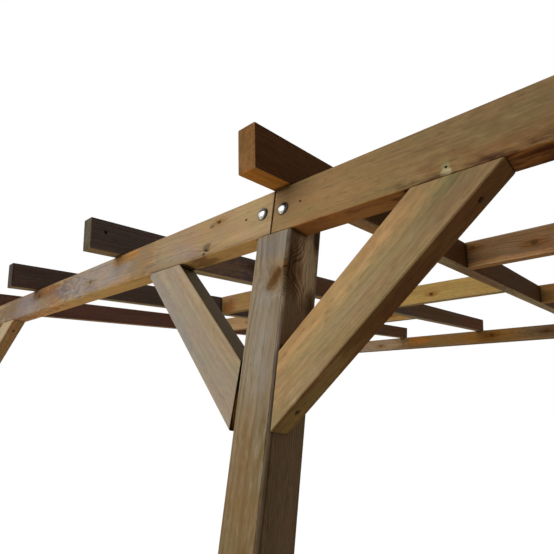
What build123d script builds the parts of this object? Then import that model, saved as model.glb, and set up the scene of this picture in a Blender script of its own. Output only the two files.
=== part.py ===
"""Lean-to pergola in planed softwood: two bays, three posts and a wall plate.

A front row of posts carries two beam lengths that meet over the middle post.
Rafters fall from the wall plate to the front beams and run on past them.
Staggered noggings brace the rafters, and knee braces stiffen the posts.

Millimetres and degrees, +X along the wall, +Y towards the wall, +Z up. The
origin is on the back face of the wall plate, the face that goes to the wall.
"""

import os
from math import atan2, cos, radians, sin, tan

from build123d import *

# Overall sizes
BAY = 1900.0  # from one post's middle to the next
DEPTH = 2980.0  # from the wall to the front face of the front beams
BEAM_TOP = 2150.0  # from the ground to the front top edge of the front beams
PITCH = 10.4  # slope of the rafters

# Timber sections
POST = 90.0  # square posts
BEAM_T, BEAM_H = 45.0, 95.0  # front beams, height at the front face
PLATE_T, PLATE_H = 45.0, 95.0  # wall plate, height at the front face
RAFTER_T, RAFTER_H = 45.0, 90.0  # rafters, and the noggings between them
BRACE_T, BRACE_W = 45.0, 94.0  # knee braces
NOGGING_T = 45.0
ARRIS = 3.0  # planed timber has its long edges eased
POST_ARRIS = 7.5  # the posts' edges are rounded more

# Layout
OVERHANG = 95.0  # rafter beyond the front beam, measured along the slope
RAFTERS_PER_BAY = 3  # rafter spaces in each bay
MIDDLE_RAFTER_SHIFT = 10.0  # the middle rafter stands right of its post's middle
BEAM_JOINT_SHIFT = -7.5  # the beams meet left of the middle of the post
BEAM_JOINT_GAP = 1.5
PAIR_AT = (0.33, 0.65)  # a pair of noggings, as shares of the rafter's length
SINGLE_AT = (0.5,)  # a nogging on its own, in every other space

# Knee braces: where the long edge would meet the beam and the post, how far its
# lower tip stands off the post, and how much of its upper tip is sawn off.
TIGHT_BRACE = {"beam_leg": 366.0, "post_leg": 364.0, "tip_gap": 0.0, "nib": 1.5}
LONG_BRACE = {"beam_leg": 396.0, "post_leg": 374.0, "tip_gap": 8.0, "nib": 1.5}
BLUNT_BRACE = LONG_BRACE | {"nib": 13.0}

# Worked out from the sizes above
SLOPE = radians(PITCH)
FRONT = -DEPTH  # Y of the front face of posts, beams and braces
BEAM_UNDER = BEAM_TOP - BEAM_H
HALF_LENGTH = BAY + POST / 2
RAFTER_COUNT = 2 * RAFTERS_PER_BAY + 1
WALL = Plane(origin=(0, 0, 0), x_dir=(1, 0, 0), z_dir=(0, -1, 0))


def seat(y):
    """Height of the plane that every rafter's underside lies in."""
    return BEAM_TOP + (y - FRONT) * tan(SLOPE)


PLATE_UNDER = seat(-PLATE_T) - PLATE_H
RAFTER_LENGTH = OVERHANG + DEPTH / cos(SLOPE)
ORIGIN_HEIGHT = (PLATE_UNDER + seat(0)) / 2  # middle of the wall plate's back


def slope_point(x, along):
    """Point on the underside plane, measured along the slope from the front face."""
    return (x, FRONT + along * cos(SLOPE), BEAM_TOP + along * sin(SLOPE))


def rafter_middle(index):
    """X of a rafter's middle: even spaces from each end rafter to the middle one."""
    end = HALF_LENGTH - RAFTER_T / 2
    if index <= RAFTERS_PER_BAY:
        share = index / RAFTERS_PER_BAY
        return -end + share * (MIDDLE_RAFTER_SHIFT + end)
    share = (index - RAFTERS_PER_BAY) / RAFTERS_PER_BAY
    return MIDDLE_RAFTER_SHIFT + share * (end - MIDDLE_RAFTER_SHIFT)


def post(x):
    """Square post: a rebate takes the beams, and the tongue behind them is cut to the slope."""
    stock_height = seat(FRONT + POST)
    section = RectangleRounded(POST, POST, POST_ARRIS)
    stock = Pos(x, FRONT + POST / 2, 0) * extrude(section, stock_height)
    rebate_height = stock_height - BEAM_UNDER
    rebate = Pos(x, FRONT, BEAM_UNDER) * Box(
        POST, 2 * BEAM_T, rebate_height, align=(Align.CENTER, Align.CENTER, Align.MIN)
    )
    roof = Plane(origin=slope_point(x, 0), x_dir=(1, 0, 0), z_dir=(0, sin(SLOPE), -cos(SLOPE)))
    return split(stock - rebate, bisect_by=roof, keep=Keep.TOP)


def sloped_top_timber(x0, x1, front, thickness, under):
    """Level timber from x0 to x1 whose top is planed to the slope, so rafters sit flat on it."""
    back = front + thickness
    outline = Polyline(
        (front, under), (back, under), (back, seat(back)), (front, seat(front)), close=True
    )
    section = make_face(outline)
    section = fillet(section.vertices(), ARRIS)
    return Pos(x0, 0, 0) * extrude(Plane.YZ * section, x1 - x0)


def rafter(x):
    """Rafter with a square front end and a plumb cut against the wall."""
    start = Plane(
        origin=slope_point(x, -OVERHANG), x_dir=(-1, 0, 0), z_dir=(0, cos(SLOPE), sin(SLOPE))
    )
    section = Pos(0, RAFTER_H / 2) * RectangleRounded(RAFTER_T, RAFTER_H, ARRIS)
    plumb_extra = RAFTER_H * tan(SLOPE)
    stock = extrude(start * section, RAFTER_LENGTH + plumb_extra)
    return split(stock, bisect_by=WALL, keep=Keep.TOP)


def nogging(left, right, share):
    """Cross piece between two rafters, square to them and as deep as they are."""
    x0 = rafter_middle(left) + RAFTER_T / 2
    x1 = rafter_middle(right) - RAFTER_T / 2
    along = share * RAFTER_LENGTH - OVERHANG
    place = Plane(
        origin=slope_point(x0, along), x_dir=(0, cos(SLOPE), sin(SLOPE)), z_dir=(1, 0, 0)
    )
    section = Pos(0, RAFTER_H / 2) * RectangleRounded(NOGGING_T, RAFTER_H, ARRIS)
    return extrude(place * section, x1 - x0)


def knee_brace(beam_leg, post_leg, tip_gap, nib):
    """Brace right of a post, mitred to fit under a beam at Z = 0 and beside a post at X = 0."""
    angle = atan2(post_leg, beam_leg)
    inner_drop = post_leg - BRACE_W / cos(angle)
    spare = BRACE_W / min(sin(angle), cos(angle))
    long_edge = Plane(
        origin=(0, 0, -post_leg), x_dir=(0, 1, 0), z_dir=(cos(angle), 0, sin(angle))
    ).offset(-spare)
    section = Pos(BRACE_T / 2, BRACE_W / 2) * RectangleRounded(BRACE_T, BRACE_W, ARRIS)
    stock = extrude(long_edge * section, beam_leg / cos(angle) + 2 * spare)
    beam_face = Plane(origin=(0, 0, 0), x_dir=(1, 0, 0), z_dir=(0, 0, -1))
    foot_lean = atan2(tip_gap, post_leg - inner_drop)
    post_face = Plane(
        origin=(0, 0, -inner_drop), x_dir=(0, 1, 0), z_dir=(cos(foot_lean), 0, sin(foot_lean))
    )
    tip_cut = Plane(origin=(beam_leg - nib, 0, 0), x_dir=(0, 1, 0), z_dir=(-1, 0, 0))
    brace = split(stock, bisect_by=beam_face, keep=Keep.TOP)
    brace = split(brace, bisect_by=post_face, keep=Keep.TOP)
    return split(brace, bisect_by=tip_cut, keep=Keep.TOP)


def place_brace(post_x, side, cut):
    """Set a brace on the right (side 1) or the left (side -1) of a post."""
    brace = knee_brace(**cut)
    if side < 0:
        brace = mirror(brace, about=Plane.YZ)
    return Pos(post_x + side * POST / 2, FRONT, BEAM_UNDER) * brace


def posts_and_braces():
    return {
        "post_left": post(-BAY),
        "post_middle": post(0),
        "post_right": post(BAY),
        "brace_left_post": place_brace(-BAY, 1, LONG_BRACE),
        "brace_middle_post_left": place_brace(0, -1, BLUNT_BRACE),
        "brace_middle_post_right": place_brace(0, 1, TIGHT_BRACE),
        "brace_right_post": place_brace(BAY, -1, TIGHT_BRACE),
    }


def beams_and_plates():
    left_end = BEAM_JOINT_SHIFT - BEAM_JOINT_GAP / 2
    right_end = BEAM_JOINT_SHIFT + BEAM_JOINT_GAP / 2
    lengths = {"left": (-HALF_LENGTH, left_end), "right": (right_end, HALF_LENGTH)}
    pieces = {}
    for side, (x0, x1) in lengths.items():
        pieces[f"front_beam_{side}"] = sloped_top_timber(x0, x1, FRONT, BEAM_T, BEAM_UNDER)
        pieces[f"wall_plate_{side}"] = sloped_top_timber(x0, x1, -PLATE_T, PLATE_T, PLATE_UNDER)
    return pieces


def rafters():
    return {f"rafter_{i + 1}": rafter(rafter_middle(i)) for i in range(RAFTER_COUNT)}


def noggings():
    """One nogging and two noggings in turn, so that no two lie end to end."""
    pieces = {}
    for space in range(RAFTER_COUNT - 1):
        shares = SINGLE_AT if space % 2 == 0 else PAIR_AT
        for row, share in enumerate(shares):
            name = f"nogging_{space + 1}{'abc'[row]}"
            pieces[name] = nogging(space, space + 1, share)
    return pieces


def main():
    os.makedirs("parts", exist_ok=True)
    pieces = posts_and_braces() | beams_and_plates() | rafters() | noggings()
    to_origin = Pos(0, 0, -ORIGIN_HEIGHT)
    volume = 0.0
    for name, piece in pieces.items():
        placed = to_origin * piece
        placed.label = name
        export_step(placed, f"parts/{name}.step")
        volume += placed.volume
    print(f"{len(pieces)} pieces, {volume / 1e9:.4f} m3 of timber")
    print(f"ground at Z = {-ORIGIN_HEIGHT:.2f}, rafters {RAFTER_LENGTH:.0f} long")


main()
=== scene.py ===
"""Looks of a lean-to pergola: weathered softwood, screw holes, zinc bolts, studio floor and light.

Everything is in metres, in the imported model's frame: +X along the wall, +Y to the wall, +Z up.
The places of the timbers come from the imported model. This script gives each one its wood, cuts
the screw holes that show, and adds the fasteners.
"""

import math
import random
from collections import namedtuple

import bmesh
import bpy
from mathutils import Matrix, Vector


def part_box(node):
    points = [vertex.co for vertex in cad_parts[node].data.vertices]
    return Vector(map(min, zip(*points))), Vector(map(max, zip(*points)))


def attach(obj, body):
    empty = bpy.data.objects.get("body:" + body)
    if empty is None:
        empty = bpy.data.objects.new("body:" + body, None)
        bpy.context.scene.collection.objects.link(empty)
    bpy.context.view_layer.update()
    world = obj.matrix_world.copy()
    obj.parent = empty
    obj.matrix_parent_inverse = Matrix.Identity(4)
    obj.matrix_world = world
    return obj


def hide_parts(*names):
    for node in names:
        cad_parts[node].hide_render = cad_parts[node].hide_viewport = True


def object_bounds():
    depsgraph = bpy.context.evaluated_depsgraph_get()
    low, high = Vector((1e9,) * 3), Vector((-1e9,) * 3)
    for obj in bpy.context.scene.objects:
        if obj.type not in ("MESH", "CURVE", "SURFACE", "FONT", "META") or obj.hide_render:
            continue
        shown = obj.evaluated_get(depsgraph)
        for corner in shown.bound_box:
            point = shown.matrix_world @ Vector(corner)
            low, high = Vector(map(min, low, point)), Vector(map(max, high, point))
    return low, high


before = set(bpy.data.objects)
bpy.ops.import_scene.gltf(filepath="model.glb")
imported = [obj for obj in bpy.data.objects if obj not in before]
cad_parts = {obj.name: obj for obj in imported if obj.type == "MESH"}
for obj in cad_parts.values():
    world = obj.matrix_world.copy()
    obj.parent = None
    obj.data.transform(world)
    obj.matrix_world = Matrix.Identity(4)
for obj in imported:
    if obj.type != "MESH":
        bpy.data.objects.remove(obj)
cad_low, cad_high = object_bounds()

MM = 0.001
TO_WALL = Vector((0, 1, 0))
TO_VIEWER = -TO_WALL
ALONG_WALL = Vector((1, 0, 0))


# ---------------------------------------------------------------- shader helpers


class Nodes:
    """Short calls that add and link the nodes of a tree. A value is a socket or a constant."""

    def __init__(self, tree):
        self.tree = tree

    def add(self, kind, **settings):
        node = self.tree.nodes.new(kind)
        for name, value in settings.items():
            setattr(node, name, value)
        return node

    def feed(self, socket, value):
        if isinstance(value, bpy.types.NodeSocket):
            self.tree.links.new(value, socket)
        elif socket.type == "RGBA" and len(value) == 3:
            socket.default_value = (*value, 1.0)
        else:
            socket.default_value = value

    def put(self, sockets, values):
        """Feeds each named socket."""
        for name, value in values.items():
            self.feed(sockets[name], value)

    def group(self, tree, values):
        node = self.add("ShaderNodeGroup", node_tree=tree)
        self.put(node.inputs, values)
        return node.outputs

    def math(self, operation, *values, clamp=False):
        node = self.add("ShaderNodeMath", operation=operation, use_clamp=clamp)
        for socket, value in zip(node.inputs, values):
            self.feed(socket, value)
        return node.outputs[0]

    def plus(self, first, second):
        return self.math("ADD", first, second)

    def minus(self, first, second):
        return self.math("SUBTRACT", first, second)

    def times(self, product, *factors, clamp=False):
        """The product of all the values, held between 0 and 1 at the end if clamp is set."""
        for factor in factors[:-1]:
            product = self.math("MULTIPLY", product, factor)
        return self.math("MULTIPLY", product, factors[-1], clamp=clamp)

    def most(self, largest, *others):
        for other in others:
            largest = self.math("MAXIMUM", largest, other)
        return largest

    def line(self, value, slope, offset):
        """The value times the slope, plus the offset."""
        return self.math("MULTIPLY_ADD", value, slope, offset)

    def vector(self, operation, *values):
        node = self.add("ShaderNodeVectorMath", operation=operation)
        for socket, value in zip(node.inputs, values):
            self.feed(socket, value)
        return node.outputs["Value" if operation in ("DOT_PRODUCT", "LENGTH") else "Vector"]

    def scale(self, vector, factor):
        node = self.add("ShaderNodeVectorMath", operation="SCALE")
        self.feed(node.inputs[0], vector)
        self.feed(node.inputs["Scale"], factor)
        return node.outputs["Vector"]

    def parts(self, vector):
        """The X, Y and Z of a vector."""
        node = self.add("ShaderNodeSeparateXYZ")
        self.feed(node.inputs[0], vector)
        return node.outputs

    def remap(self, kind, value, start, end, low, high):
        node = self.add("ShaderNodeMapRange", interpolation_type=kind)
        ends = {"From Min": start, "From Max": end, "To Min": low, "To Max": high}
        self.put(node.inputs, {"Value": value} | ends)
        return node.outputs["Result"]

    def smooth(self, value, start, end, low=0.0, high=1.0):
        """Goes smoothly from low to high while value goes from start to end."""
        return self.remap("SMOOTHSTEP", value, start, end, low, high)

    def spread(self, value, low, high):
        """Stretches a noise value, which lies mostly between 0.3 and 0.7, to low and high."""
        return self.remap("LINEAR", value, 0.3, 0.7, low, high)

    def noise(self, vector, scale, detail=2.0, roughness=0.5, output=0):
        """Noise whose grain differs along the three axes: scale is in features to a metre."""
        node = self.add("ShaderNodeTexNoise")
        scaled = self.vector("MULTIPLY", vector, scale)
        fineness = {"Scale": 1.0, "Detail": detail, "Roughness": roughness}
        self.put(node.inputs, {"Vector": scaled} | fineness)
        return node.outputs[output]

    def mix(self, factor, first, second, blend="MIX"):
        node = self.add("ShaderNodeMix", data_type="RGBA", blend_type=blend)
        for number, value in ((0, factor), (6, first), (7, second)):
            self.feed(node.inputs[number], value)
        return node.outputs[2]

    def bump(self, strength, distance, height):
        node = self.add("ShaderNodeBump")
        self.put(node.inputs, {"Strength": strength, "Distance": distance, "Height": height})
        return node.outputs["Normal"]


def new_group(name, inputs, outputs):
    """An empty node group. Its sockets are given as a type and the names that have it."""
    tree = bpy.data.node_groups.new(name, "ShaderNodeTree")
    for in_out, sockets in (("INPUT", inputs), ("OUTPUT", outputs)):
        for kind, labels in sockets.items():
            for label in labels:
                tree.interface.new_socket(label, in_out=in_out, socket_type=f"NodeSocket{kind}")
    nodes = Nodes(tree)
    source = nodes.add("NodeGroupInput").outputs
    sink = nodes.add("NodeGroupOutput").inputs
    return tree, nodes, source, sink


def new_material(name):
    """A material with a plain shader: the material, its nodes and the shader's sockets."""
    material = bpy.data.materials.new(name)
    material.use_nodes = True
    tree = material.node_tree
    return material, Nodes(tree), tree.nodes["Principled BSDF"].inputs


def dress(obj, material):
    obj.data.materials.clear()
    obj.data.materials.append(material)


# ---------------------------------------------------------------- wood

GREY_WOOD = (0.255, 0.222, 0.175)
GREENISH = (0.95, 1.02, 0.86)
RUDDY = (1.09, 0.97, 0.85)
FLECK = (1.20, 0.96, 0.68)
LATE_WOOD = (0.60, 0.47, 0.34)
DIRT = (0.030, 0.020, 0.013)
KNOT_HEART = (0.115, 0.055, 0.014)
KNOT_RIM = (0.050, 0.024, 0.008)
KNOT_STAIN = (0.74, 0.55, 0.32)
# Painted highlight and painted shade for the rounded front arrises
ARRIS_HIGHLIGHT_PALE = (0.38, 0.31, 0.22)
ARRIS_SHADE_DARK = (0.11, 0.090, 0.065)
ARRIS_HIGHLIGHT_WARM = (0.35, 0.215, 0.090)
ARRIS_STRIP_FROM, ARRIS_STRIP_TO = 8 * MM, 1.5 * MM  # from the arris, where the painted light and shade of the arris strip starts and is full
CONTACT_SHADE_REACH = 11 * MM  # how near another timber has to be for the painted contact shade
DAMP_HEIGHT = 0.22  # m, of the damp at the foot of a post
SAME_POINT = 0.01 * MM

# What a knot adds to and hands on, besides Flow: the swelling of the rings round it, its dark
# heart, the stain round that and the knot's own rings
CARRIED = ("Swell", "Core", "Stain", "Rings")


def make_knot_group():
    """One knot: the grain flows round it, the growth rings swell over it, and its wood is dark."""
    shape = ("Radius", "Stretch", "Depth", "Lift", "Reach", "Strength")
    tree, nodes, source, sink = new_group(
        "knot",
        {"Vector": ("Position", "Flow", "Centre", "Axis"), "Float": CARRIED + shape},
        {"Vector": ("Flow",), "Float": CARRIED},
    )
    offset = nodes.vector("SUBTRACT", source["Position"], source["Centre"])
    deep = nodes.vector("DOT_PRODUCT", offset, source["Axis"])
    across = nodes.vector("SUBTRACT", offset, nodes.scale(source["Axis"], deep))
    inner = nodes.times(source["Depth"], -1.0)
    inside = nodes.times(
        nodes.smooth(deep, inner, nodes.times(inner, 0.55)), nodes.smooth(deep, 9 * MM, 1 * MM)
    )
    taper = nodes.smooth(deep, inner, nodes.times(inner, 0.45), 0.45, 1.0)
    girth = nodes.times(source["Radius"], taper)
    ragged = nodes.spread(nodes.noise(source["Position"], (70.0, 70.0, 70.0)), 0.80, 1.20)

    def reach(stretch):
        """Distance from the knot's axis in girths, drawn out along the grain."""
        squash = nodes.add("ShaderNodeCombineXYZ")
        nodes.put(squash.inputs, {"X": nodes.math("DIVIDE", 1.0, stretch), "Y": 1.0, "Z": 1.0})
        length = nodes.vector("LENGTH", nodes.vector("MULTIPLY", across, squash.outputs[0]))
        return nodes.math("DIVIDE", length, girth)

    near = nodes.times(reach(source["Stretch"]), ragged)
    long_reach = reach(nodes.times(source["Stretch"], 2.0))
    shown = nodes.times(inside, source["Strength"])
    core = nodes.times(nodes.smooth(near, 1.25, 0.55), shown)
    stain = nodes.times(nodes.smooth(long_reach, 2.8, 0.8), shown)
    swell = nodes.math("POWER", nodes.smooth(long_reach, source["Reach"], 0.6), 2.0)
    swell = nodes.times(swell, inside, source["Lift"])
    pull = nodes.times(nodes.smooth(near, 4.5, 0.6), inside)
    rings = nodes.times(nodes.math("SINE", nodes.times(near, 15.0)), core)
    bend = nodes.scale(across, nodes.times(pull, -0.62))
    handed_on = {
        "Flow": nodes.vector("ADD", source["Flow"], bend),
        "Swell": nodes.plus(source["Swell"], swell),
        "Core": nodes.most(source["Core"], core),
        "Stain": nodes.most(source["Stain"], stain),
        "Rings": nodes.plus(source["Rings"], rings),
    }
    nodes.put(sink, handed_on)
    return tree


def make_patch_group():
    """Tints the wood in one uneven patch."""
    tree, nodes, source, sink = new_group(
        "patch",
        {
            "Vector": ("Position", "Centre", "Radii"),
            "Color": ("Color", "Tint"),
            "Float": ("Strength", "Softness"),
        },
        {"Color": ("Color",)},
    )
    offset = nodes.vector("SUBTRACT", source["Position"], source["Centre"])
    reach = nodes.vector("LENGTH", nodes.vector("DIVIDE", offset, source["Radii"]))
    ragged = nodes.noise(source["Position"], (25.0, 90.0, 90.0), 3.0, 0.6)
    ragged = nodes.times(nodes.spread(ragged, -1.0, 1.0), source["Softness"])
    inner = nodes.minus(0.8, source["Softness"])
    outer = nodes.plus(0.8, source["Softness"])
    mask = nodes.smooth(nodes.plus(reach, ragged), outer, inner)
    mask = nodes.times(mask, source["Strength"])
    nodes.feed(sink["Color"], nodes.mix(mask, source["Color"], source["Tint"], "MULTIPLY"))
    return tree


def make_wood_group():
    """Softwood as a solid: growth rings round a wandering pith, fibres, weathering and knots."""
    tree, nodes, source, sink = new_group(
        "softwood",
        {
            "Vector": ("Normal", "Flow", "Pith", "Seed"),
            "Color": ("Open", "Side", "Under", "Arris Color"),
            "Float": CARRIED
            + ("Ring Width", "Contrast", "Flecks", "Figure")
            + ("Weathering", "End Grain", "Arris", "Damp"),
        },
        {"Color": ("Color",), "Float": ("Roughness", "Height")},
    )
    seeded = nodes.vector("ADD", source["Flow"], source["Seed"])
    half = (0.5, 0.5, 0.5)

    # Growth rings
    slow = nodes.vector("SUBTRACT", nodes.noise(seeded, (1.3, 3.0, 3.0), 1.0, output=1), half)
    quick = nodes.vector("SUBTRACT", nodes.noise(seeded, (5.0, 16.0, 16.0), output=1), half)
    wander = nodes.vector("ADD", nodes.scale(slow, 0.070), nodes.scale(quick, 0.007))
    wandered = nodes.vector("ADD", source["Flow"], wander)
    from_pith = nodes.vector("SUBTRACT", wandered, source["Pith"])
    radius = nodes.vector("LENGTH", nodes.vector("MULTIPLY", from_pith, (0.0, 1.0, 1.0)))
    phase = nodes.math("DIVIDE", nodes.plus(radius, source["Swell"]), source["Ring Width"])
    part = nodes.math("FRACT", phase)
    each_year = nodes.add("ShaderNodeTexWhiteNoise", noise_dimensions="1D")
    nodes.feed(each_year.inputs["W"], nodes.math("FLOOR", phase))
    late = nodes.times(
        nodes.smooth(part, 0.30, 0.86),
        nodes.smooth(part, 1.0, 0.92),
        nodes.line(each_year.outputs["Value"], 0.7, 0.3),
    )

    # Fibres, streaks and specks along the grain
    fine = nodes.noise(seeded, (16.0, 620.0, 620.0), 3.0, 0.7)
    streak = nodes.noise(seeded, (3.0, 130.0, 130.0), 4.0, 0.65)
    broad = nodes.noise(seeded, (1.6, 26.0, 26.0))
    mottle = nodes.noise(seeded, (55.0, 110.0, 110.0), 4.0, 0.65)
    cloud = nodes.noise(seeded, (4.5, 15.0, 15.0), 3.0, 0.6)

    # Faces differ: open to the rain and sun, sheltered, or turned down
    facing = nodes.parts(source["Normal"])
    sideways = nodes.smooth(nodes.math("ABSOLUTE", facing["X"]), 0.30, 0.65)
    side_facing = nodes.most(sideways, nodes.smooth(facing["Y"], 0.35, 0.85))
    under = nodes.smooth(facing["Z"], -0.30, -0.80)
    open_face = nodes.smooth(nodes.most(side_facing, under), 1.0, 0.0)
    # The open, side and under colours hold weathering and also painted light and shade for how
    # each face is turned
    colour = nodes.mix(side_facing, source["Open"], source["Side"])
    colour = nodes.mix(under, colour, source["Under"])

    ring_shade = nodes.times(
        late,
        source["Contrast"],
        nodes.spread(cloud, 1.3, 0.5),
        nodes.line(open_face, -0.8, 1.8),
        clamp=True,
    )
    colour = nodes.mix(ring_shade, colour, LATE_WOOD, "MULTIPLY")
    dense = nodes.times(nodes.smooth(source["Swell"], 2 * MM, 14 * MM), late, 0.8)
    plain = nodes.mix(dense, colour, nodes.scale(colour, 0.38))
    colour = plain
    figure = ((broad, 0.86, 1.12), (streak, 0.89, 1.10), (fine, 0.88, 1.10), (mottle, 0.88, 1.10))
    for grain, low, high in figure:
        colour = nodes.scale(colour, nodes.spread(grain, low, high))
    colour = nodes.mix(source["Figure"], plain, colour)

    # Greener and ruddier patches, and small ruddy flecks
    patch = nodes.noise(seeded, (9.0, 26.0, 26.0), 3.0, 0.6)
    hue = nodes.mix(nodes.smooth(patch, 0.38, 0.62), GREENISH, RUDDY)
    colour = nodes.mix(0.55, colour, hue, "MULTIPLY")
    speck = nodes.noise(seeded, (48.0, 170.0, 170.0))
    fleck = nodes.times(nodes.smooth(speck, 0.60, 0.72), source["Flecks"])
    colour = nodes.mix(fleck, colour, FLECK, "MULTIPLY")
    colour = nodes.scale(colour, nodes.smooth(speck, 0.40, 0.27, 1.0, 0.78))

    # Sun and rain turn the open faces grey, in streaks and patches, and most of all the tops
    bleach = nodes.times(nodes.spread(cloud, 0.25, 1.5), nodes.spread(streak, 0.7, 1.2))
    bleach = nodes.times(bleach, source["Weathering"], open_face, clamp=True)
    upward = nodes.smooth(facing["Z"], 0.86, 0.96)
    bleach = nodes.most(bleach, nodes.times(upward, nodes.spread(cloud, 0.30, 0.80)))
    grey = nodes.scale(GREY_WOOD, nodes.spread(streak, 0.80, 1.20))
    grey = nodes.scale(grey, nodes.spread(fine, 0.90, 1.10))
    grey = nodes.scale(grey, nodes.line(late, -0.34, 1.08))
    colour = nodes.mix(bleach, colour, grey)

    # Painted light and shade on the rounded front arrises: a noisy strip of the arris colour
    arris_break = nodes.noise(seeded, (14.0, 60.0, 60.0), 3.0)
    painted_arris_light_and_shade = nodes.times(source["Arris"], nodes.spread(arris_break, 0.05, 0.60), clamp=True)
    painted_arris_light_and_shade = nodes.times(painted_arris_light_and_shade, nodes.smooth(facing["Y"], -0.25, -0.70))
    colour = nodes.mix(painted_arris_light_and_shade, colour, source["Arris Color"])

    # Knots
    colour = nodes.mix(nodes.times(source["Stain"], 0.8), colour, KNOT_STAIN, "MULTIPLY")
    heart = nodes.mix(nodes.line(source["Rings"], 0.4, 0.4), KNOT_HEART, KNOT_RIM)
    colour = nodes.mix(source["Core"], colour, heart)

    # Sawn ends soak up dirt and water, and so does a foot that stands on the ground
    sawn = nodes.noise(seeded, (30.0, 300.0, 50.0), 3.0)
    end = nodes.scale(colour, nodes.spread(sawn, 0.55, 0.85))
    colour = nodes.mix(source["End Grain"], colour, end)
    damp = nodes.times(source["Damp"], nodes.spread(cloud, 0.3, 0.9))
    colour = nodes.mix(damp, colour, DIRT)

    # Painted shade where timbers meet: the wood darkens near another timber, as an occlusion shade
    occlusion_node = nodes.add("ShaderNodeAmbientOcclusion", samples=6)
    occlusion_node.inputs["Distance"].default_value = CONTACT_SHADE_REACH
    openness = occlusion_node.outputs["AO"]
    painted_contact_shade = nodes.times(
        nodes.smooth(openness, 0.96, 0.56, 0.0, 0.95),
        nodes.smooth(openness, 0.10, 0.45, 0.30, 1.0),
        nodes.line(source["End Grain"], -0.9, 1.0),
    )
    colour = nodes.mix(painted_contact_shade, colour, nodes.scale(colour, 0.15))

    height = nodes.line(late, 0.45, nodes.times(streak, 0.9))
    height = nodes.line(fine, 0.45, height)
    height = nodes.line(source["Core"], 0.6, height)
    roughness = nodes.line(fine, 0.22, 0.66)
    nodes.put(sink, {"Color": colour, "Roughness": roughness, "Height": height})
    return tree


KNOT_GROUP = make_knot_group()
PATCH_GROUP = make_patch_group()
WOOD_GROUP = make_wood_group()

# The wood of one timber: its colour on open faces, on sheltered ones and underneath (these hold
# painted light and shade as well as weathering), how grey it is, how strong and how wide its rings
# are, and where its pith runs, in mm from its middle
Look = namedtuple(
    "Look",
    "open_face side under weathering contrast ring pith flecks figure arris",
    defaults=(0.45, 1.0, ARRIS_HIGHLIGHT_PALE),
)

# A knot: where its branch comes out, which way the branch runs there, and its size in mm
Knot = namedtuple(
    "Knot", "point out radius stretch depth lift reach strength", defaults=(1.4, 30, 9, 7, 1)
)

# A patch of the surface with a tint, with radii in mm along the timber's axes
Patch = namedtuple("Patch", "point radii tint strength softness", defaults=(0.9, 0.35))


def clean_mesh(node):
    """A packed timber's mesh with its flat faces whole."""
    mesh = bmesh.new()
    mesh.from_mesh(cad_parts[node].data)
    bmesh.ops.remove_doubles(mesh, verts=mesh.verts, dist=SAME_POINT)
    flat = math.radians(0.5)
    bmesh.ops.dissolve_limit(mesh, angle_limit=flat, verts=mesh.verts, edges=mesh.edges)
    bmesh.ops.recalc_face_normals(mesh, faces=mesh.faces)
    return mesh


def towards_positive(direction):
    return direction if max(direction, key=abs) > 0 else -direction


class Timber:
    """One CAD timber: its middle, its half sizes and its own axes.

    The axes are the grain, the side direction and the width direction. Grain and width point more
    along than against the frame's axes, and the side completes them as a right-handed set.
    """

    def __init__(self, node, side):
        self.node = node
        self.dice = random.Random(node)
        mesh = clean_mesh(node)
        corners = [vertex.co.copy() for vertex in mesh.verts]
        longest = max(mesh.edges, key=lambda edge: edge.calc_length())
        grain = longest.verts[0].co - longest.verts[1].co
        mesh.free()
        self.grain = towards_positive(grain.normalized())
        self.width = towards_positive(self.grain.cross(side).normalized())
        self.side = self.width.cross(self.grain)
        self.axes = Matrix((self.grain, self.side, self.width))
        local = [self.axes @ corner for corner in corners]
        low = Vector(min(point[i] for point in local) for i in range(3))
        high = Vector(max(point[i] for point in local) for i in range(3))
        self.half = (high - low) / 2
        self.middle = self.axes.transposed() @ ((high + low) / 2)

    def local(self, point):
        """A point of the frame in the timber's own axes, from its middle."""
        return self.axes @ (point - self.middle)

    def place(self, along, across, up):
        """The frame's point at this place in the timber's own axes."""
        return self.middle + self.axes.transposed() @ Vector((along, across, up))


def scattered_knots(timber, count=3):
    """Knots at random places on the faces of a timber."""
    knots = []
    for _ in range(count):
        along = timber.dice.uniform(-0.92, 0.92) * timber.half.x
        on_side = timber.dice.random() < 0.7
        sign = timber.dice.choice((-1, 1))
        spread = timber.dice.uniform(-0.75, 0.75)
        if on_side:
            point = timber.place(along, sign * timber.half.y, spread * timber.half.z)
            out = sign * timber.side
        else:
            point = timber.place(along, spread * timber.half.y, sign * timber.half.z)
            out = sign * timber.width
        knots.append(Knot(point, out, timber.dice.uniform(4.0, 9.0)))
    return knots


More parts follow.
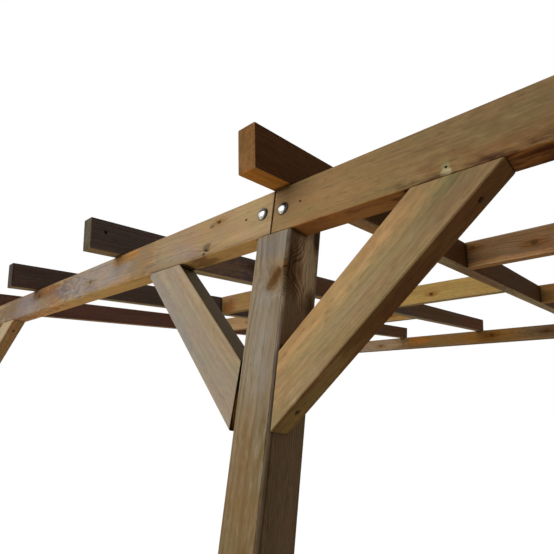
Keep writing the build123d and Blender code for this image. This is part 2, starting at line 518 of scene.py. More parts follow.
def wood_material(timber, look, knots, patches):
    """The material of one timber, laid out along its own grain."""
    material, nodes, shader = new_material(f"wood_{timber.node}")
    where = nodes.add("ShaderNodeTexCoord").outputs
    normal = where["Normal"]
    to_local = nodes.add("ShaderNodeMapping", vector_type="TEXTURE")
    turn = timber.axes.transposed().to_euler("XYZ")
    own_axes = {"Vector": where["Object"], "Location": timber.middle, "Rotation": turn}
    nodes.put(to_local.inputs, own_axes)
    position = to_local.outputs["Vector"]

    carried = {"Flow": position}
    for knot in knots:
        own = {
            "Position": position,
            "Centre": timber.local(knot.point),
            "Axis": timber.axes @ knot.out,
            "Radius": knot.radius * MM,
            "Stretch": knot.stretch,
            "Depth": knot.depth * MM,
            "Lift": knot.lift * MM,
            "Reach": knot.reach,
            "Strength": knot.strength,
        }
        outputs = nodes.group(KNOT_GROUP, carried | own)
        carried = {name: outputs[name] for name in ("Flow",) + CARRIED}

    facing_end = nodes.vector("DOT_PRODUCT", normal, timber.grain)
    facing_end = nodes.math("ABSOLUTE", facing_end)
    outward = nodes.parts(nodes.vector("ABSOLUTE", position))
    from_side = nodes.minus(timber.half.y, outward["Y"])
    from_arris = nodes.most(from_side, nodes.minus(timber.half.z, outward["Z"]))
    own = {
        "Normal": normal,
        "Pith": (0.0, look.pith[0] * MM, look.pith[1] * MM),
        "Seed": [timber.dice.uniform(0, 50) for _ in range(3)],
        "Ring Width": look.ring * MM,
        "Contrast": look.contrast,
        "Flecks": look.flecks,
        "Figure": look.figure,
        "Open": look.open_face,
        "Side": look.side,
        "Under": look.under,
        "Weathering": look.weathering,
        "Arris Color": look.arris,
        "End Grain": nodes.smooth(facing_end, 0.6, 0.8),
        "Arris": nodes.smooth(from_arris, ARRIS_STRIP_FROM, ARRIS_STRIP_TO),
    }
    if timber.node.startswith("post"):
        from_ground = nodes.plus(nodes.parts(position)["X"], timber.half.x)
        own["Damp"] = nodes.smooth(from_ground, DAMP_HEIGHT, 0.0)
    wood = nodes.group(WOOD_GROUP, carried | own)

    colour = wood["Color"]
    for patch in patches:
        own = {
            "Position": position,
            "Color": colour,
            "Centre": timber.local(patch.point),
            "Radii": [radius * MM for radius in patch.radii],
            "Tint": patch.tint,
            "Strength": patch.strength,
            "Softness": patch.softness,
        }
        colour = nodes.group(PATCH_GROUP, own)["Color"]

    surface = {
        "Base Color": colour,
        "Roughness": wood["Roughness"],
        "Specular IOR Level": 0.03,
        "Normal": nodes.bump(0.8, 0.6 * MM, wood["Height"]),
    }
    nodes.put(shader, surface)
    return material


# ---------------------------------------------------------------- the timbers and their looks

rafter_slope = Timber("rafter_4", ALONG_WALL).grain

# By the first word of the node's name: its side direction and its material slot
KINDS = {
    "post": (TO_WALL, "post_timber"),
    "brace": (TO_WALL, "brace_timber"),
    "front": (TO_WALL, "beam_timber"),
    "wall": (TO_WALL, "plate_timber"),
    "rafter": (ALONG_WALL, "rafter_timber"),
    "nogging": (rafter_slope, "nogging_timber"),
}


def side_and_slot(node):
    return KINDS[node.split("_")[0]]


timbers = {node: Timber(node, side_and_slot(node)[0]) for node in sorted(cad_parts)}


def nogging_look(open_face, under, weathering=0.05):
    return Look(open_face, (0.3, 0.18, 0.06), under, weathering, 0.5, 6.0, (25, -60))


# A look by the start of the node's name: the longest that fits is taken
# Each look's open, side and under colours are set lighter or darker for how the face is turned to
# the light: painted light and shade, besides the wood's weathering
LOOKS = {
    "post": Look(
        (0.28, 0.200, 0.115), (0.28, 0.190, 0.110), (0.25, 0.16, 0.09),
        0.45, 0.6, 6.0, (95, -60),
    ),
    "post_middle": Look(
        (0.28, 0.200, 0.115), (0.26, 0.180, 0.108), (0.25, 0.16, 0.09),
        0.45, 0.6, 5.0, (160, 30), figure=0.8,
    ),
    "front_beam_left": Look(
        (0.43, 0.272, 0.125), (0.30, 0.19, 0.10), (0.72, 0.43, 0.160),
        0.34, 0.13, 6.0, (30, -70), 0.1, 0.5, ARRIS_SHADE_DARK,
    ),
    "front_beam_right": Look(
        (0.27, 0.178, 0.077), (0.24, 0.15, 0.07), (0.40, 0.175, 0.047),
        0.08, 0.13, 5.0, (35, 80), 0.3, 0.75, ARRIS_HIGHLIGHT_WARM,
    ),
    "brace": Look(
        (0.31, 0.208, 0.096), (0.24, 0.140, 0.060), (0.24, 0.113, 0.040),
        0.12, 0.16, 4.5, (50, 40), arris=ARRIS_HIGHLIGHT_WARM,
    ),
    "brace_left_post": Look(
        (0.40, 0.31, 0.20), (0.54, 0.36, 0.185), (0.50, 0.29, 0.12),
        0.12, 0.16, 4.5, (50, 40), arris=ARRIS_HIGHLIGHT_WARM,
    ),
    "brace_middle_post_left": Look(
        (0.38, 0.300, 0.222), (0.080, 0.053, 0.015), (0.24, 0.125, 0.05),
        0.30, 0.11, 4.5, (50, 40), 0.25, 0.8,
    ),
    "rafter": Look(
        (0.15, 0.095, 0.055), (0.150, 0.103, 0.088), (0.36, 0.26, 0.15),
        0.35, 0.40, 5.0, (30, 70),
    ),
    "rafter_3": Look(
        (0.12, 0.092, 0.050), (0.165, 0.120, 0.112), (0.36, 0.26, 0.15),
        0.35, 0.38, 5.0, (30, 70),
    ),
    "rafter_4": Look(
        (0.335, 0.165, 0.055), (0.139, 0.063, 0.027), (0.37, 0.28, 0.150),
        0.05, 0.32, 5.0, (30, 70),
    ),
    "nogging": Look(
        (0.24, 0.125, 0.052), (0.22, 0.12, 0.05), (0.42, 0.22, 0.08),
        0.1, 0.6, 6.0, (25, -60),
    ),
    "nogging_3": nogging_look((0.48, 0.310, 0.100), (0.40, 0.27, 0.09)),
    "nogging_2b": nogging_look((0.395, 0.225, 0.066), (0.40, 0.27, 0.11)),
    "nogging_1": nogging_look((0.44, 0.27, 0.13), (0.40, 0.25, 0.09), 0.1),
    "nogging_2": nogging_look((0.34, 0.200, 0.092), (0.40, 0.25, 0.09)),
    "wall_plate": Look(
        (0.25, 0.130, 0.036), (0.2, 0.11, 0.04), (0.3, 0.17, 0.07),
        0.1, 0.6, 5.0, (25, 60),
    ),
}


def look_of(node):
    start = max((name for name in LOOKS if node.startswith(name)), key=len)
    return LOOKS[start]


# Places on the wood are in mm. On the front faces they are measured from the middle of the
# middle post and from the underside of the beams.

OVERHANG = 95.0  # of the rafters beyond the front beams, along the slope
FRONT_ORIGIN = Vector((0.0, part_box("post_middle")[0].y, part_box("front_beam_left")[0].z))


def on_front(x, z, depth=0.0):
    return FRONT_ORIGIN + Vector((x, depth, z)) * MM


def on_post_side(y, z):
    """On the right face of the middle post, y from its front."""
    return FRONT_ORIGIN + Vector((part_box("post_middle")[1].x / MM, y, z)) * MM


def on_plate(x, height):
    low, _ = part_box("wall_plate_left")
    return Vector((x * MM, low.y, low.z + height * MM))


def on_nogging(node):
    """Places on a nogging's front: x from the middle post and the height above its underside."""
    timber = timbers[node]
    return lambda x, height: timber.place(
        x * MM - timber.middle.x, -timber.half.y, height * MM - timber.half.z
    )


def in_rafter(node):
    """Places in a rafter: along the slope from the beams, above its underside, to its left."""
    timber = timbers[node]
    return lambda along, height, across=0.0: timber.place(
        (OVERHANG + along) * MM - timber.half.x, across * MM, height * MM - timber.half.z
    )


def in_timber(node):
    """Places in a timber's own axes, from its middle."""
    timber = timbers[node]
    return lambda along, across, up: timber.place(along * MM, across * MM, up * MM)


def patches(place, *rows):
    """Patches from rows of a place, radii, a tint, and maybe a strength and a softness."""
    return [Patch(place(*spot), *rest) for spot, *rest in rows]


JOINT_DIRT = (0.30, 0.22, 0.17)
SPLIT_KNOT = Vector((0.59, -0.04, 0.80)).normalized()  # the way its branch runs, over the arris

# The knots that show. A timber that isn't named here has scattered ones.
KNOTS = {
    "front_beam_left": [
        Knot(on_front(-175, 74), TO_VIEWER, 5.5, 1.2, strength=0.8),
        Knot(on_front(-205, 19), TO_VIEWER, 6.0, 1.3, strength=0.2),
        Knot(on_front(-789, 41), TO_VIEWER, 7.0, strength=0.6),
        Knot(on_front(-1228, 63), TO_VIEWER, 8.0, strength=0.6),
    ],
    "post_middle": [
        Knot(on_front(27, -82), SPLIT_KNOT, 9.0, 1.0, 54.0, 8.0, strength=0.8),
        Knot(on_post_side(0, -76), ALONG_WALL, 4.0, 0.6, 14.0, 40.0, 23.0),
    ],
    "brace_middle_post_left": [],
    "brace_middle_post_right": [],
    "nogging_4a": [
        Knot(on_nogging("nogging_4a")(55, 66), -rafter_slope, 7.0),
        Knot(on_nogging("nogging_4a")(240, 41), -rafter_slope, 8.0),
    ],
    "nogging_3a": [Knot(on_nogging("nogging_3a")(-328, 37), -rafter_slope, 7.0)],
    "wall_plate_left": [
        Knot(on_plate(-1487, 37), TO_VIEWER, 10.0),
        Knot(on_plate(-538, 55), TO_VIEWER, 12.0),
        Knot(on_plate(-171, 50), TO_VIEWER, 10.0),
    ],
}

# Patches with a tint, after the photo: the wood's own colour, save those marked painted shade or
# painted light
PATCHES = {
    "front_beam_left": patches(
        on_front,
        ((-70, 45), (80, 60, 60), (1.13, 1.15, 1.12), 1.0),
        ((-790, 50), (330, 60, 54), (0.81, 1.00, 1.62), 0.9, 0.22),
        ((-490, 50), (85, 30, 70), (0.76, 0.72, 0.67)),
        ((-365, 50), (85, 30, 60), (0.90, 0.96, 1.12)),
        ((-1030, 50), (140, 30, 60), (1.10, 0.98, 0.86)),
        ((-420, 14), (60, 30, 24), (0.82, 0.84, 0.88)),
        ((-777, 12), (60, 30, 24), (0.80, 0.80, 0.86)),
        ((-290, 50), (60, 30, 60), (0.90, 0.96, 1.15)),
        ((-1160, -2, 24), (170, 32, 9), (1.24, 1.02, 1.04)),
        ((-1450, -2, 24), (230, 32, 9), (0.92, 0.76, 0.82)),
        ((-1350, 50), (560, 70, 80), (0.47, 0.48, 0.60), 0.9, 0.3),
        ((-1345, 40), (150, 30, 60), (1.20, 1.34, 1.85), 0.9, 0.25),
        ((-1180, 76), (130, 30, 30), (1.05, 0.75, 0.45)),
        ((-1220, 22), (140, 30, 36), (1.22, 1.30, 1.42)),
        ((-590, 80), (85, 30, 26), (1.32, 0.90, 0.40)),
        ((-199, 69), (11, 20, 6.5), (0.50, 0.58, 0.58), 1.0, 0.2),
        ((-207, 18), (17, 30, 12), (0.50, 0.50, 0.58), 0.9, 0.25),
        ((-250, 12), (40, 30, 18), (0.80, 0.80, 1.05), 0.8),
        # Painted shade on the beam's underside beside the brace
        ((-235, 0, 24), (45, 26, 7), (0.50, 0.42, 0.40)),
        ((-8.3, 50), (2.6, 30, 80), JOINT_DIRT, 0.9, 0.2),
    ),
    "front_beam_right": patches(
        on_front,
        ((60, 45), (190, 70, 75), (1.20, 1.14, 1.16), 0.8),
        ((210, -2, 24), (180, 32, 9), (1.08, 1.16, 1.40)),
        ((85, -2, 24), (50, 32, 9), (0.78, 0.76, 0.76)),
        ((775, 50), (570, 90, 120), (0.76, 0.73, 0.74), 1.0),
        # Painted shade: the underside grows darker towards the right end
        ((830, 0), (600, 90, 16), (0.27, 0.22, 0.28), 1.0),
        ((333, 6), (10, 12, 9), (1.75, 2.4, 3.0), 1.0, 0.2),
        ((332, 17), (9, 12, 7), (1.1, 1.45, 1.6), 1.0, 0.2),
        ((410, 14), (130, 30, 22), (0.96, 0.80, 0.75), 0.8),
        ((-6.7, 50), (2.6, 30, 80), JOINT_DIRT, 0.9, 0.2),
    ),
    "post_middle": patches(
        on_front,
        ((22, -86), (34, 30, 15), (1.0, 0.87, 0.69)),
        ((40, -71), (7, 14, 6), (1.4, 1.15, 0.75), 0.8),
        ((-12, -95), (60, 30, 26), (1.05, 1.12, 1.22), 0.8),
        ((10, -134), (16, 30, 26), (1.05, 1.12, 1.22), 0.8),
        ((0, -25), (32, 40, 60), (0.86, 0.98, 1.22), 0.8),
        ((-20, -87), (1.6, 8, 5), (1.35, 1.35, 1.35)),
        # Painted shade along the post's rounded front right arris, and a painted dark line where
        # its flat front face ends
        ((43.5, -45), (110, 11, 8.5), (0.62, 0.60, 0.56), 0.9, 0.12),
        ((43.5, -420), (330, 11, 8.5), (0.50, 0.47, 0.46), 0.9, 0.12),
        ((37.6, -240), (330, 4, 1.3), (0.55, 0.50, 0.46), 0.9, 0.2),
        ((0, -230), (130, 60, 60), (1.10, 1.16, 1.28)),
        ((0, -760), (520, 60, 60), (0.78, 0.70, 0.50), 1.0),
        ((26, -460), (170, 30, 15), (0.86, 0.81, 0.68)),
        ((30, -270), (170, 30, 10), (0.90, 0.86, 0.76)),
    )
    + patches(
        on_post_side,
        ((56, -58), (84, 34, 12), (2.6, 2.9, 3.2), 1.0),
        ((15, -78), (64, 34, 14), (0.62, 0.50, 0.42), 1.0),
        ((70, -128), (30, 20, 9), (0.42, 0.36, 0.32)),
        # Painted shade: a dark contact shadow under the beam at the top of the right face, and a
        # dark line along the back right arris
        ((76, 4), (34, 12, 9), (0.30, 0.27, 0.24), 1.0),
        ((87, -45), (80, 4, 6), (0.25, 0.22, 0.18)),
    ),
    "brace_middle_post_right": patches(
        in_timber("brace_middle_post_right"),
        ((-80, -22, 38), (270, 30, 35), (1.48, 1.35, 1.27), 0.95, 0.2),
        ((-150, -22, -38), (60, 30, 16), (1.20, 1.18, 1.32)),
        ((60, -22, -18), (240, 30, 22), (0.93, 0.94, 0.97)),
    )
    + patches(
        on_front,
        ((400, -60), (95, 60, 120), (0.80, 0.79, 0.80), 1.0),
        ((70, -390), (90, 60, 80), (1.08, 1.12, 1.14)),
        ((150, -200), (240, 60, 24), (1.12, 1.14, 1.18)),
        ((330, -14), (30, 30, 20), (0.95, 1.08, 1.05), 0.8),
    )
    + patches(
        in_timber("brace_middle_post_right"),
        ((-190, 4, -47), (150, 26, 9), (1.40, 1.80, 1.75), 1.0),
        ((40, 4, -47), (110, 26, 9), (0.79, 0.72, 0.76), 1.0),
    ),
    "brace_middle_post_left": patches(
        in_timber("brace_middle_post_left"),
        ((60, -22, 38), (240, 30, 26), (1.05, 0.98, 0.82)),
        ((-80, -22, -38), (230, 30, 22), (0.86, 0.94, 1.10)),
    )
    + patches(
        on_front,
        # Painted light in the gap between the brace's foot and the post, lifting the shade there
        ((-54, -325, 7), (42, 5, 42), (8.0, 7.0, 4.0), 1.0, 0.2),
    ),
    "wall_plate_left": patches(
        on_plate,
        ((-1124, 61), (120, 24, 40), (1.45, 1.0, 0.6)),
        ((-1550, 45), (350, 24, 70), (1.45, 1.85, 3.2)),
        ((-100, 60), (300, 24, 70), (0.56, 0.63, 1.05)),
        ((-560, 45), (260, 24, 70), (1.06, 0.92, 0.60)),
    ),
    "rafter_4": patches(
        in_rafter("rafter_4"),
        ((-30, 0), (230, 60, 2.2), (1.6, 0.92, 0.36), 1.0),
        ((380, 0), (210, 30, 8), (1.08, 0.78, 0.62)),
        ((360, 40, -22), (170, 12, 60), (0.52, 0.50, 0.42), 0.95),
        ((1150, 0), (420, 30, 20), (0.68, 0.54, 0.52), 1.0),
        # Painted shade on the rafter's side next to the nogging
        ((820, 45, -22), (220, 16, 60), (0.72, 0.66, 0.60)),
        ((1500, 45, -22), (400, 12, 60), (0.76, 0.91, 1.02)),
    ),
    "rafter_3": patches(
        in_rafter("rafter_3"),
        ((330, 40, -22), (190, 30, 50), (1.88, 1.60, 1.17)),
        ((980, 40, -22), (420, 30, 50), (1.17, 0.77, 0.44)),
        ((2190, 40, -22), (520, 12, 60), (1.14, 0.93, 0.52), 0.95, 0.25),
        ((2820, 45, -22), (300, 16, 60), (1.25, 0.68, 0.31)),
        ((-95, 60, 18), (12, 14, 60), (0.57, 0.80, 0.69), 0.8),
    ),
    "rafter_1": patches(
        in_rafter("rafter_1"),
        ((1500, 45, -22), (2600, 12, 80), (1.40, 0.97, 0.85), 1.0),
    ),
    "rafter_2": patches(
        in_rafter("rafter_2"),
        ((-95, 45), (10, 40, 70), (0.42, 0.50, 0.60)),
        ((2820, 45, -22), (300, 16, 60), (1.42, 1.00, 0.50)),
    ),
    "nogging_2a": patches(
        on_nogging("nogging_2a"),
        ((-1200, 25), (60, 12, 50), (0.84, 0.62, 0.42), 0.95),
        ((-1090, 45), (60, 12, 60), (1.10, 1.12, 0.86)),
    ),
    "nogging_4a": patches(
        on_nogging("nogging_4a"),
        ((140, 8), (200, 12, 10), (1.7, 1.6, 1.4)),
    ),
    "nogging_4b": patches(
        on_nogging("nogging_4b"),
        ((90, 45), (200, 40, 70), (1.12, 1.0, 0.66), 1.0),
    ),
}


# ---------------------------------------------------------------- visible shapes

EASED = 1.6  # mm, how far the sawn ends are eased
END_EDGE = math.radians(40)  # edges sharper than this are sawn ends, mitres and notches
CREASE = math.radians(32)
SINK_DEPTH = 3.2  # mm, of a countersink, or less in a shallow hole
CUTTER_ABOVE = 6.0  # mm, how far a cutter stands out of the wood
SCREW_FROM_HEAD = 56.0  # mm, from the end of a brace at the beam
SCREW_FROM_FOOT = 49.0  # mm, from its end at the post
SCREW_AT = 8.0  # mm, depth of the screw heads
# mm, the cross recess of a screw: half its width, half its length and its depth
SLOT, LONG_SLOT, SLOT_DEPTH = 0.5, 1.8, 0.8

# A round hole in mm: its mouth, the way it runs, its size and how wide its countersink is
Hole = namedtuple("Hole", "mouth inward radius depth sink", defaults=(3.0, 24.0, 5.6))

# A torn hollow in the surface, with half sizes in mm along the timber's axes
Gouge = namedtuple("Gouge", "point radii")


def add_object(name, data):
    obj = bpy.data.objects.new(name, data)
    bpy.context.scene.collection.objects.link(obj)
    return obj


def new_object(name, mesh):
    data = bpy.data.meshes.new(name)
    mesh.to_mesh(data)
    mesh.free()
    return add_object(name, data)


def add_boolean(obj, other, solver, operation="DIFFERENCE", use_self=False):
    cut = obj.modifiers.new("cut", "BOOLEAN")
    cut.object = other
    cut.solver = solver
    cut.operation = operation
    cut.use_self = use_self


def apply_modifiers(obj):
    plain = obj.data
    graph = bpy.context.evaluated_depsgraph_get()
    obj.data = bpy.data.meshes.new_from_object(obj.evaluated_get(graph))
    obj.modifiers.clear()
    bpy.data.meshes.remove(plain)


def turned(profile, steps):
    """A closed turned shape: profile is (radius, height) in mm from the bottom to the top."""
    mesh = bmesh.new()
    rings = []
    for radius, height in profile:
        count = steps if radius > 0 else 1
        angles = [2 * math.pi * i / steps for i in range(count)]
        ring = [(radius * math.cos(angle), radius * math.sin(angle), height) for angle in angles]
        rings.append([mesh.verts.new(Vector(corner) * MM) for corner in ring])
    for low, high in zip(rings, rings[1:]):
        for i in range(steps):
            next_low, next_high = low[(i + 1) % len(low)], high[(i + 1) % len(high)]
            corners = [low[i % len(low)], next_low, next_high, high[i % len(high)]]
            mesh.faces.new(list(dict.fromkeys(corners)))
    bmesh.ops.recalc_face_normals(mesh, faces=mesh.faces)
    return mesh


def stand(obj, place, direction):
    """Puts a shape made on the Z axis at a place, with Z along a direction."""
    turn = direction.to_track_quat("Z", "Y").to_matrix().to_4x4()
    obj.data.transform(Matrix.Translation(place) @ turn)


def smooth(obj):
    obj.data.shade_smooth()
    obj.data.set_sharp_from_angle(angle=CREASE)


def hole_cutter(hole):
    sink_depth = min(SINK_DEPTH, hole.depth * 0.6)
    profile = [
        (0, -hole.depth),
        (hole.radius, -hole.depth),
        (hole.radius, -sink_depth),
        (hole.sink, 0),
        (hole.sink, CUTTER_ABOVE),
        (0, CUTTER_ABOVE),
    ]
    cutter = new_object("hole_cutter", turned(profile, 24))
    stand(cutter, hole.mouth, -hole.inward)
    return cutter


def gouge_cutter(gouge, timber):
    """An egg with a rough skin."""
    mesh = bmesh.new()
    bmesh.ops.create_icosphere(mesh, subdivisions=3, radius=1.0)
    for vertex in mesh.verts:
        vertex.co *= timber.dice.uniform(0.82, 1.12)
        vertex.co = timber.axes.transposed() @ (vertex.co * Vector(gouge.radii)) * MM
    bmesh.ops.translate(mesh, verts=mesh.verts, vec=gouge.point)
    return new_object("gouge_cutter", mesh)


def shaped_copy(node, holes, gouges):
    """A copy of a packed timber with its sawn ends eased, and its holes and torn places cut."""
    mesh = clean_mesh(node)
    ends = [edge for edge in mesh.edges if edge.is_manifold and edge.calc_face_angle() > END_EDGE]
    bmesh.ops.bevel(mesh, geom=ends, offset=EASED * MM, segments=2, profile=0.5, affect="EDGES")
    copy = new_object(f"{node}_wood", mesh)
    cutters = [hole_cutter(hole) for hole in holes]
    cutters += [gouge_cutter(gouge, timbers[node]) for gouge in gouges]
    for cutter in cutters:
        add_boolean(copy, cutter, "MANIFOLD")
    smooth(copy)
    weigh = copy.modifiers.new("flat_faces", "WEIGHTED_NORMAL")
    weigh.keep_sharp = True
    apply_modifiers(copy)
    for cutter in cutters:
        bpy.data.objects.remove(cutter)
    return copy


def brace_holes(node):
    """Screw holes in a brace's long edge, one into the beam and one into the post."""
    timber = timbers[node]
    holes = []
    for end in (1, -1):
        at_head = end * timber.grain.z > 0
        from_end = SCREW_FROM_HEAD if at_head else SCREW_FROM_FOOT
        mouth = timber.place(end * (timber.half.x - from_end * MM), 0, -timber.half.z)
        holes.append(Hole(mouth, timber.width))
    return holes


def screw(name, hole):
    """The sunk head of a screw, with a cross recess."""
    head = [(0, -2.6), (1.6, -2.6), (2.8, -0.6), (2.8, -0.1), (2.7, 0), (0, 0)]
    obj = new_object(name, turned(head, 24))
    mesh = bmesh.new()
    for x, y in ((LONG_SLOT, SLOT), (SLOT, LONG_SLOT)):
        box = bmesh.ops.create_cube(mesh, size=2.0)
        bmesh.ops.scale(mesh, verts=box["verts"], vec=(x * MM, y * MM, SLOT_DEPTH * MM))
    cross = new_object("cross_cutter", mesh)
    add_boolean(obj, cross, "EXACT", use_self=True)
    apply_modifiers(obj)
    bpy.data.objects.remove(cross)
    stand(obj, hole.mouth + hole.inward * SCREW_AT * MM, -hole.inward)
    smooth(obj)
    return obj


def all_holes():
    holes = {node: brace_holes(node) for node in timbers if node.startswith("brace")}
    rafter = timbers["rafter_3"]
    bored = in_rafter("rafter_3")(-52, 55, -rafter.half.y / MM)
    holes["rafter_3"] = [Hole(bored, rafter.side, 4.2, 24.0, 5.2)]
    holes["front_beam_left"] = [Hole(on_front(-84, 52.6), TO_WALL, 2.2, 2.4, 3.0)]
    holes["front_beam_right"] = [
        Hole(on_front(61, 49), TO_WALL, 2.0, 2.2, 2.8),
        Hole(on_front(332.6, 13.8), TO_WALL, 1.8, 8.0, 2.2),
    ]
    return holes


HOLES = all_holes()
GOUGES = {
    "front_beam_left": [
        Gouge(on_front(-181, 77), (5.0, 1.6, 1.2)),
        Gouge(on_front(-173, 73), (3.0, 2.0, 2.0)),
        Gouge(on_front(-208, 14), (6.0, 2.2, 2.6)),
        Gouge(on_front(-201, 10), (8.0, 1.8, 1.6)),
        Gouge(on_front(-214, 5), (7.0, 2.6, 2.0)),
    ]
}


def dress_timbers():
    for node, timber in timbers.items():
        knots = KNOTS[node] if node in KNOTS else scattered_knots(timber)
        material = wood_material(timber, look_of(node), knots, PATCHES.get(node, ()))
        copy = shaped_copy(node, HOLES.get(node, ()), GOUGES.get(node, ()))
        dress(copy, material)
        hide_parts(node)
        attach(copy, "root")
        side_and_slot(node)[1]


dress_timbers()


# ---------------------------------------------------------------- fasteners

# Sizes in mm
HEAD_RADIUS = 12.5
HEAD_HEIGHT = 5.4
HEAD_SKIRT = 1.0  # height of the rim under the dome
BOLT_RADIUS = 5.0
BOLT_PAST_NUT = 5.0
NUT_ACROSS = 16.0
NUT_HEIGHT = 8.0
WASHER_RADIUS = 12.0
WASHER_THICKNESS = 2.0
THREAD_PITCH = 1.5
THREAD_DEPTH = 0.8
IN_WOOD = 1.0  # how far a head or a bolt goes on into the wood
EDGE = 0.3  # how far the sharp edges are taken off
UNDERCUT = 0.5  # how far the dome stands out over its foot
PLAY = 0.5  # between the washer and the bolt
CHAMFER_SLOPE = 0.7  # of the nut's corners, along the bolt for each mm outwards


def metal_piece(obj, material):
    smooth(obj)
    dress(obj, material)
    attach(obj, "root")


def turned_zinc(name, profile, steps, place, direction):
    obj = new_object(name, turned(profile, steps))
    stand(obj, place, direction)
    metal_piece(obj, ZINC)


def bolt_head(name, place):
    """A carriage bolt's domed head, which stands on the beam's face."""
    steps = 12
    dome = [math.pi / 2 * i / steps for i in range(steps)]
    rise = HEAD_HEIGHT - HEAD_SKIRT
    foot = HEAD_RADIUS - UNDERCUT
    profile = [(0, -IN_WOOD), (foot, -IN_WOOD), (foot, 0), (HEAD_RADIUS, EDGE)]
    for angle in dome:
        profile.append((HEAD_RADIUS * math.cos(angle), HEAD_SKIRT + rise * math.sin(angle)))
    profile.append((0, HEAD_HEIGHT))
    turned_zinc(name, profile, 48, place, TO_VIEWER)


def bolt_end(name, place):
    """A bolt's threaded end behind the post, from the post's back face."""
    length = WASHER_THICKNESS + NUT_HEIGHT + BOLT_PAST_NUT
    root = BOLT_RADIUS - THREAD_DEPTH
    profile = [(0, -IN_WOOD), (BOLT_RADIUS, -IN_WOOD)]
    height = WASHER_THICKNESS
    while height < length - THREAD_PITCH:
        profile += [(BOLT_RADIUS, height), (root, height + THREAD_PITCH / 2)]
        height += THREAD_PITCH
    profile += [(root, length), (0, length)]
    turned_zinc(name, profile, 24, place, TO_WALL)


def washer(name, place):
    inner = BOLT_RADIUS + PLAY
    profile = [
        (inner, 0),
        (WASHER_RADIUS - EDGE, 0),
        (WASHER_RADIUS, EDGE),
        (WASHER_RADIUS, WASHER_THICKNESS - EDGE),
        (WASHER_RADIUS - EDGE, WASHER_THICKNESS),
        (inner, WASHER_THICKNESS),
        (inner, 0),
    ]
    turned_zinc(name, profile, 40, place, TO_WALL)


def nut(name, place):
    """A hexagon nut with its corners chamfered at both faces."""
    mesh = bmesh.new()
    half = NUT_ACROSS / 2
    corner = NUT_ACROSS / math.sqrt(3)
    angles = [i * math.pi / 3 for i in range(6)]
    hexagon = [Vector((corner * math.cos(angle), corner * math.sin(angle), 0)) for angle in angles]
    face = mesh.faces.new([mesh.verts.new(point * MM) for point in hexagon])
    grown = bmesh.ops.extrude_face_region(mesh, geom=[face])
    top = [item for item in grown["geom"] if isinstance(item, bmesh.types.BMVert)]
    bmesh.ops.translate(mesh, verts=top, vec=(0, 0, NUT_HEIGHT * MM))
    bmesh.ops.recalc_face_normals(mesh, faces=mesh.faces)
    body = new_object(name, mesh)
    outside = corner + 0.1
    chamfer = (corner - half) * CHAMFER_SLOPE
    barrel = [(0, -1), (half, -1), (half, 0), (outside, chamfer)]
    barrel += [(outside, NUT_HEIGHT - chamfer), (half, NUT_HEIGHT)]
    barrel += [(half, NUT_HEIGHT + 1), (0, NUT_HEIGHT + 1)]
    keep = new_object("nut_barrel", turned(barrel, 48))
    add_boolean(body, keep, "EXACT", "INTERSECT")
    apply_modifiers(body)
    bpy.data.objects.remove(keep)
    stand(body, place, TO_WALL)
    metal_piece(body, ZINC)


def zinc_material():
    """Zinc plate with its spangle, a little dust, and a painted dark reflection on its upper right
    side.
    """
    material, nodes, shader = new_material("zinc")
    where = nodes.add("ShaderNodeTexCoord").outputs
    spangle = nodes.noise(where["Object"], (260.0, 260.0, 260.0), 3.0, 0.6)
    dust = nodes.noise(where["Object"], (90.0, 90.0, 90.0), 3.0, 0.6)
    colour = nodes.mix(nodes.smooth(spangle, 0.3, 0.7), (0.52, 0.53, 0.53), (0.74, 0.75, 0.74))
    colour = nodes.mix(nodes.smooth(dust, 0.56, 0.74, 0.0, 0.5), colour, (0.30, 0.27, 0.22))
    facing = nodes.parts(where["Normal"])
    uneven = nodes.spread(dust, -0.03, 0.03)
    up = nodes.plus(facing["Z"], uneven)
    right = nodes.plus(facing["X"], uneven)
    # Painted reflection: dark over the top and the right side, mid-grey on the steep rim and lower
    # right, leaving a bright band across the head
    over = nodes.smooth(up, 0.06, 0.13)
    beside = nodes.smooth(right, 0.20, 0.30)
    below = nodes.smooth(nodes.minus(nodes.times(right, 0.5), up), 0.13, 0.24)
    steep = nodes.smooth(nodes.math("ABSOLUTE", facing["Y"]), 0.965, 0.92)
    colour = nodes.mix(nodes.most(steep, below), colour, (0.20, 0.185, 0.155))
    colour = nodes.mix(nodes.most(over, beside), colour, (0.055, 0.052, 0.052))
    surface = {
        "Base Color": colour,
        "Metallic": 1.0,
        "Roughness": nodes.spread(spangle, 0.24, 0.40),
        "Normal": nodes.bump(0.3, 0.1 * MM, spangle),
    }
    nodes.put(shader, surface)
    return material


def dark_steel_material():
    """Screws that have gone dull in their holes."""
    material, nodes, shader = new_material("screw_steel")
    spot = nodes.add("ShaderNodeTexCoord").outputs["Object"]
    grime = nodes.noise(spot, (500.0, 500.0, 500.0), 3.0, 0.6)
    surface = {
        "Base Color": nodes.mix(grime, (0.06, 0.035, 0.02), (0.30, 0.20, 0.11)),
        "Metallic": 1.0,
        "Roughness": nodes.spread(grime, 0.35, 0.6),
    }
    nodes.put(shader, surface)
    return material


ZINC = zinc_material()
DULL_STEEL = dark_steel_material()

# Where the bolts are, in mm from the middle of the post and above the beams' underside
MIDDLE_BOLTS = {"left": (-35.5, 50.7), "right": (18.7, 46.6)}
END_BOLTS = {"upper": (0.0, 70.0), "lower": (0.0, 26.0)}


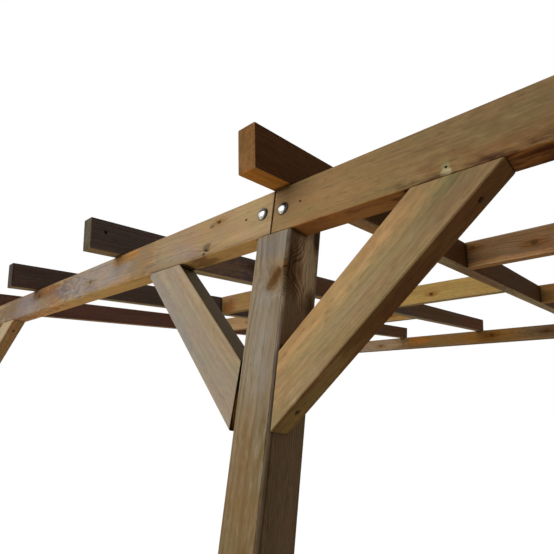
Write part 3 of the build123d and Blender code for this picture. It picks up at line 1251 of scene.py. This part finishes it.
def add_bolts():
    """Two bolts through the beams into each post, with a washer and a nut behind."""
    for post in ("left", "middle", "right"):
        low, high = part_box(f"post_{post}")
        spots = MIDDLE_BOLTS if post == "middle" else END_BOLTS
        for side, (x, z) in spots.items():
            face = on_front((low.x + high.x) / 2 / MM + x, z)
            back = Vector((face.x, high.y, face.z))
            tag = f"{post}_{side}"
            bolt_head(f"bolt_head_{tag}", face)
            washer(f"washer_{tag}", back)
            nut(f"nut_{tag}", back + TO_WALL * WASHER_THICKNESS * MM)
            bolt_end(f"bolt_end_{tag}", back)


def add_screws():
    for node, holes in HOLES.items():
        if node.startswith("brace"):
            for number, hole in enumerate(holes, 1):
                metal_piece(screw(f"screw_{node}_{number}", hole), DULL_STEEL)


add_bolts()
add_screws()


# ---------------------------------------------------------------- camera, floor and light

EYE_FROM_POST = Vector((0.550, -0.530, -0.385))  # m, from its front at the beams' underside
HEADING = math.radians(44.43)  # to the left of straight at the wall
LOOK_UP = math.radians(17.66)
TILT = math.radians(6.19)
LENS, SENSOR = 28.885, 36.0
RISE = 0.0505  # the picture is cut from above the lens axis
SKY_LIGHT = 0.22
FLOOR_SIZE = 30.0
FLOOR_DROP = 0.5 * MM  # under the posts' feet
FLOOR_FADE = (2.6, 4.6)  # where its shade starts and ends, from the pergola's middle

# A lamp's place from the middle post's head, its size, and how bright it makes a white face
# there that is turned to it
LAMPS = {
    "key": ((-2.6, -7.5, 2.4), 6.0, 0.72),
    "low_left": ((-4.5, -3.0, -1.6), 2.5, 0.25),
    "behind": ((-4.0, 9.0, 6.0), 4.0, 0.5),
}


def add_camera():
    data = bpy.data.cameras.new("camera")
    data.lens = LENS
    data.sensor_width = SENSOR
    data.shift_y = RISE
    data.clip_start = 0.02
    data.clip_end = 200.0
    camera = add_object("camera", data)
    turn = Matrix.Rotation(HEADING, 4, "Z") @ Matrix.Rotation(math.pi / 2 + LOOK_UP, 4, "X")
    eye = Matrix.Translation(FRONT_ORIGIN + EYE_FROM_POST)
    camera.matrix_world = eye @ turn @ Matrix.Rotation(TILT, 4, "Z")
    bpy.context.scene.camera = camera


def background_rays(nodes):
    """1 for rays that should see the plain background: from the camera, a mirror or glass."""
    path = nodes.add("ShaderNodeLightPath").outputs
    kinds = ("Is Camera Ray", "Is Glossy Ray", "Is Transmission Ray")
    return nodes.most(*(path[kind] for kind in kinds))


def add_world():
    world = bpy.data.worlds.new("studio")
    world.use_nodes = True
    nodes = Nodes(world.node_tree)
    light = nodes.smooth(background_rays(nodes), 0.0, 1.0, SKY_LIGHT, 1.0)
    sky = world.node_tree.nodes["Background"].inputs
    nodes.put(sky, {"Color": (1.0, 1.0, 1.0), "Strength": light})
    bpy.context.scene.world = world


def add_floor():
    """A floor that catches a faint shade and is as white as the background further off."""
    low = cad_low.z - FLOOR_DROP
    signs = ((-1, -1), (1, -1), (1, 1), (-1, 1))
    corners = [(x * FLOOR_SIZE, y * FLOOR_SIZE, low) for x, y in signs]
    mesh = bpy.data.meshes.new("floor")
    mesh.from_pydata(corners, [], [(0, 1, 2, 3)])
    floor = add_object("floor", mesh)
    material, nodes, shader = new_material("floor")
    seen = background_rays(nodes)
    spot = nodes.add("ShaderNodeTexCoord").outputs["Object"]
    from_middle = nodes.vector("SUBTRACT", spot, (cad_low + cad_high) / 2)
    from_middle = nodes.vector("MULTIPLY", from_middle, (1.0, 1.0, 0.0))
    far = nodes.smooth(nodes.vector("LENGTH", from_middle), *FLOOR_FADE)
    near_colour = nodes.mix(far, (0.80, 0.80, 0.80), (0.0, 0.0, 0.0))
    surface = {
        "Base Color": nodes.mix(seen, (0.45, 0.43, 0.40), near_colour),
        "Emission Strength": nodes.times(seen, nodes.line(far, 0.45, 0.55)),
        "Emission Color": (1.0, 1.0, 1.0),
        "Roughness": 0.9,
        "Specular IOR Level": 0.1,
    }
    nodes.put(shader, surface)
    dress(floor, material)


def add_lamps():
    low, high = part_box("post_middle")
    head = Vector((0.0, low.y, high.z))
    for name, (from_head, size, brightness) in LAMPS.items():
        away = Vector(from_head)
        data = bpy.data.lights.new(name, "AREA")
        data.shape = "SQUARE"
        data.size = size
        data.energy = brightness * (math.pi * away.length) ** 2
        lamp = add_object(name, data)
        lamp.location = head + away
        lamp.rotation_mode = "QUATERNION"
        lamp.rotation_quaternion = (-away).to_track_quat("-Z", "Y")
        lamp.visible_camera = False


add_camera()
add_world()
add_floor()
add_lamps()
bpy.context.scene.view_settings.view_transform = "Standard"
